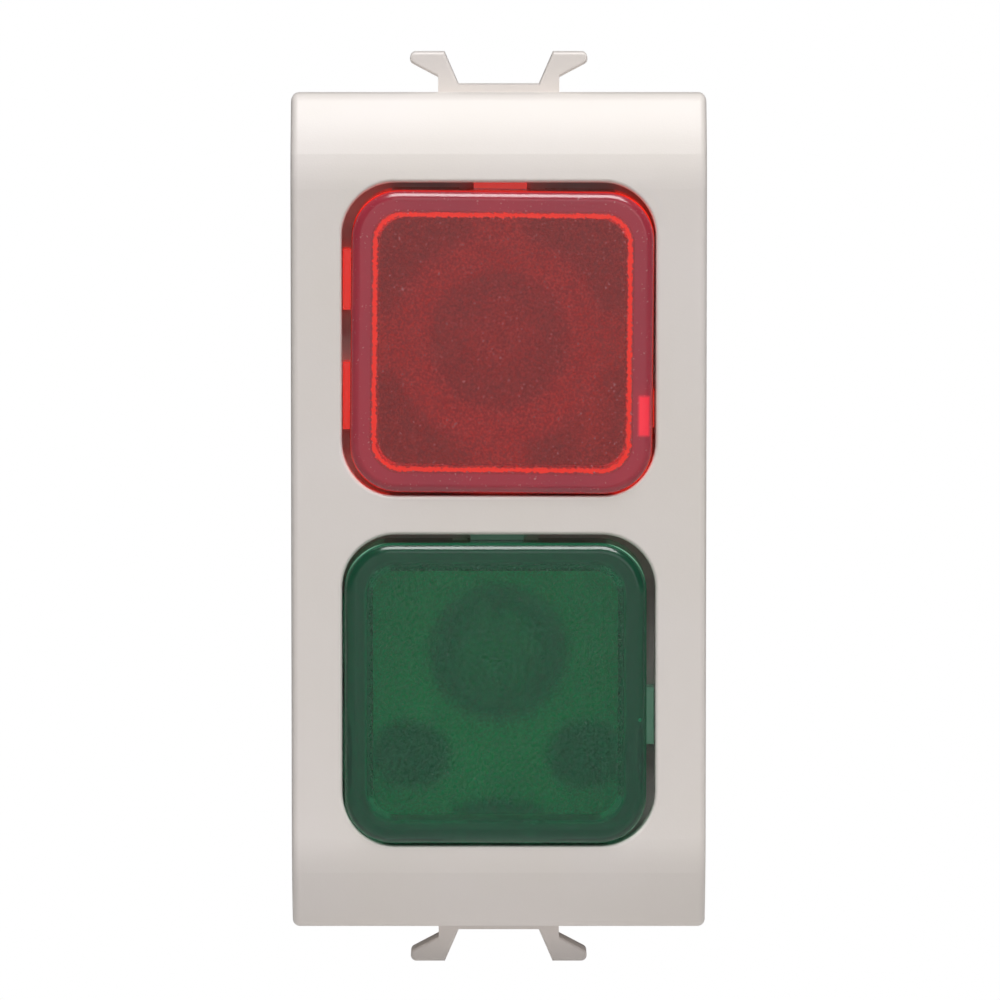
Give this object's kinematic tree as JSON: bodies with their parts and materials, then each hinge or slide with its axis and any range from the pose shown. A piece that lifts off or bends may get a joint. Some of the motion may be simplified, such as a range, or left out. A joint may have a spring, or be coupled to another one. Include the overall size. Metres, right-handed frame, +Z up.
{
  "type": "double indicator lamp insert",
  "caption": "One-module wall-frame insert: white cover with rolled ends, a red lens over a green lens, plug-in lamps and screw terminals behind, snap wings at top and bottom.",
  "frame": {"origin": "middle of the mounting plane, on which the cover's rim and the snap wings meet the wall frame", "axes": "+Z up, +X to the right seen from the front, the lenses face -Y and the terminals +Y"},
  "size_m": [0.0224, 0.0373, 0.0496],
  "materials": {
    "white_abs": "satin moulded",
    "dark_nylon": "matt moulded",
    "white_reflector": "matt moulded",
    "red_lens": "spark-eroded grain, translucent",
    "green_lens": "spark-eroded grain, translucent",
    "brass_strip": "stamped",
    "plated_steel": "zinc plated",
    "lamp_dome": "smoked clear",
    "lamp_base": "matt moulded",
    "circuit_board": "solder mask",
    "light_chip": "moulded resin",
    "resistor": "glazed"
  },
  "bodies": {
    "insert": {"front_cover": "white_abs", "clip_frame": "white_abs", "rear_housing": "dark_nylon", "rear_cap": "dark_nylon", "lamp_carrier": "white_reflector", "common_contact": "brass_strip", "red_contact": "brass_strip", "green_contact": "brass_strip"},
    "red_lens": {"red_lens": "red_lens"},
    "green_lens": {"green_lens": "green_lens"},
    "red_lamp": {"red_lamp_dome": "lamp_dome", "red_lamp_base": "lamp_base", "red_lamp_board": "circuit_board", "red_light_chip": "light_chip", "red_lamp_resistor": "resistor", "red_lamp_pins": "brass_strip"},
    "green_lamp": {"green_lamp_dome": "lamp_dome", "green_lamp_base": "lamp_base", "green_lamp_board": "circuit_board", "green_light_chip": "light_chip", "green_lamp_resistor": "resistor", "green_lamp_pins": "brass_strip"},
    "common_screw": {"common_screw": "plated_steel"},
    "common_clamp": {"common_clamp": "plated_steel"},
    "red_screw": {"red_screw": "plated_steel"},
    "red_clamp": {"red_clamp": "plated_steel"},
    "green_screw": {"green_screw": "plated_steel"},
    "green_clamp": {"green_clamp": "plated_steel"}
  },
  "joints": [
    {"name": "red_lens_pull", "type": "slide", "parent": "insert", "child": "red_lens", "axis": [0, -1, 0], "range_m": [0, 0.008]},
    {"name": "green_lens_pull", "type": "slide", "parent": "insert", "child": "green_lens", "axis": [0, -1, 0], "range_m": [0, 0.008]},
    {"name": "red_lamp_pull", "type": "slide", "parent": "insert", "child": "red_lamp", "axis": [0, -1, 0], "range_m": [0, 0.0044]},
    {"name": "green_lamp_pull", "type": "slide", "parent": "insert", "child": "green_lamp", "axis": [0, -1, 0], "range_m": [0, 0.0044]},
    {"name": "common_screw_turn", "type": "hinge", "parent": "insert", "child": "common_screw", "pos_m": [0, 0.0238, 0.0155], "axis": [0, 0, -1], "range_deg": [0, 1800]},
    {"name": "common_clamp_rise", "type": "slide", "parent": "insert", "child": "common_clamp", "axis": [0, 0, 1], "range_m": [0, 0.0025]},
    {"name": "red_screw_turn", "type": "hinge", "parent": "insert", "child": "red_screw", "pos_m": [0.0052, 0.0238, -0.0155], "axis": [0, 0, 1], "range_deg": [0, 1800]},
    {"name": "red_clamp_rise", "type": "slide", "parent": "insert", "child": "red_clamp", "axis": [0, 0, -1], "range_m": [0, 0.0025]},
    {"name": "green_screw_turn", "type": "hinge", "parent": "insert", "child": "green_screw", "pos_m": [-0.0052, 0.0238, -0.0155], "axis": [0, 0, 1], "range_deg": [0, 1800]},
    {"name": "green_clamp_rise", "type": "slide", "parent": "insert", "child": "green_clamp", "axis": [0, 0, -1], "range_m": [0, 0.0025]}
  ],
  "couplings": [
    {"joint": "common_screw_turn", "follows": "common_clamp_rise", "rad_per_m": 12566},
    {"joint": "red_screw_turn", "follows": "red_clamp_rise", "rad_per_m": 12566},
    {"joint": "green_screw_turn", "follows": "green_clamp_rise", "rad_per_m": 12566}
  ]
}
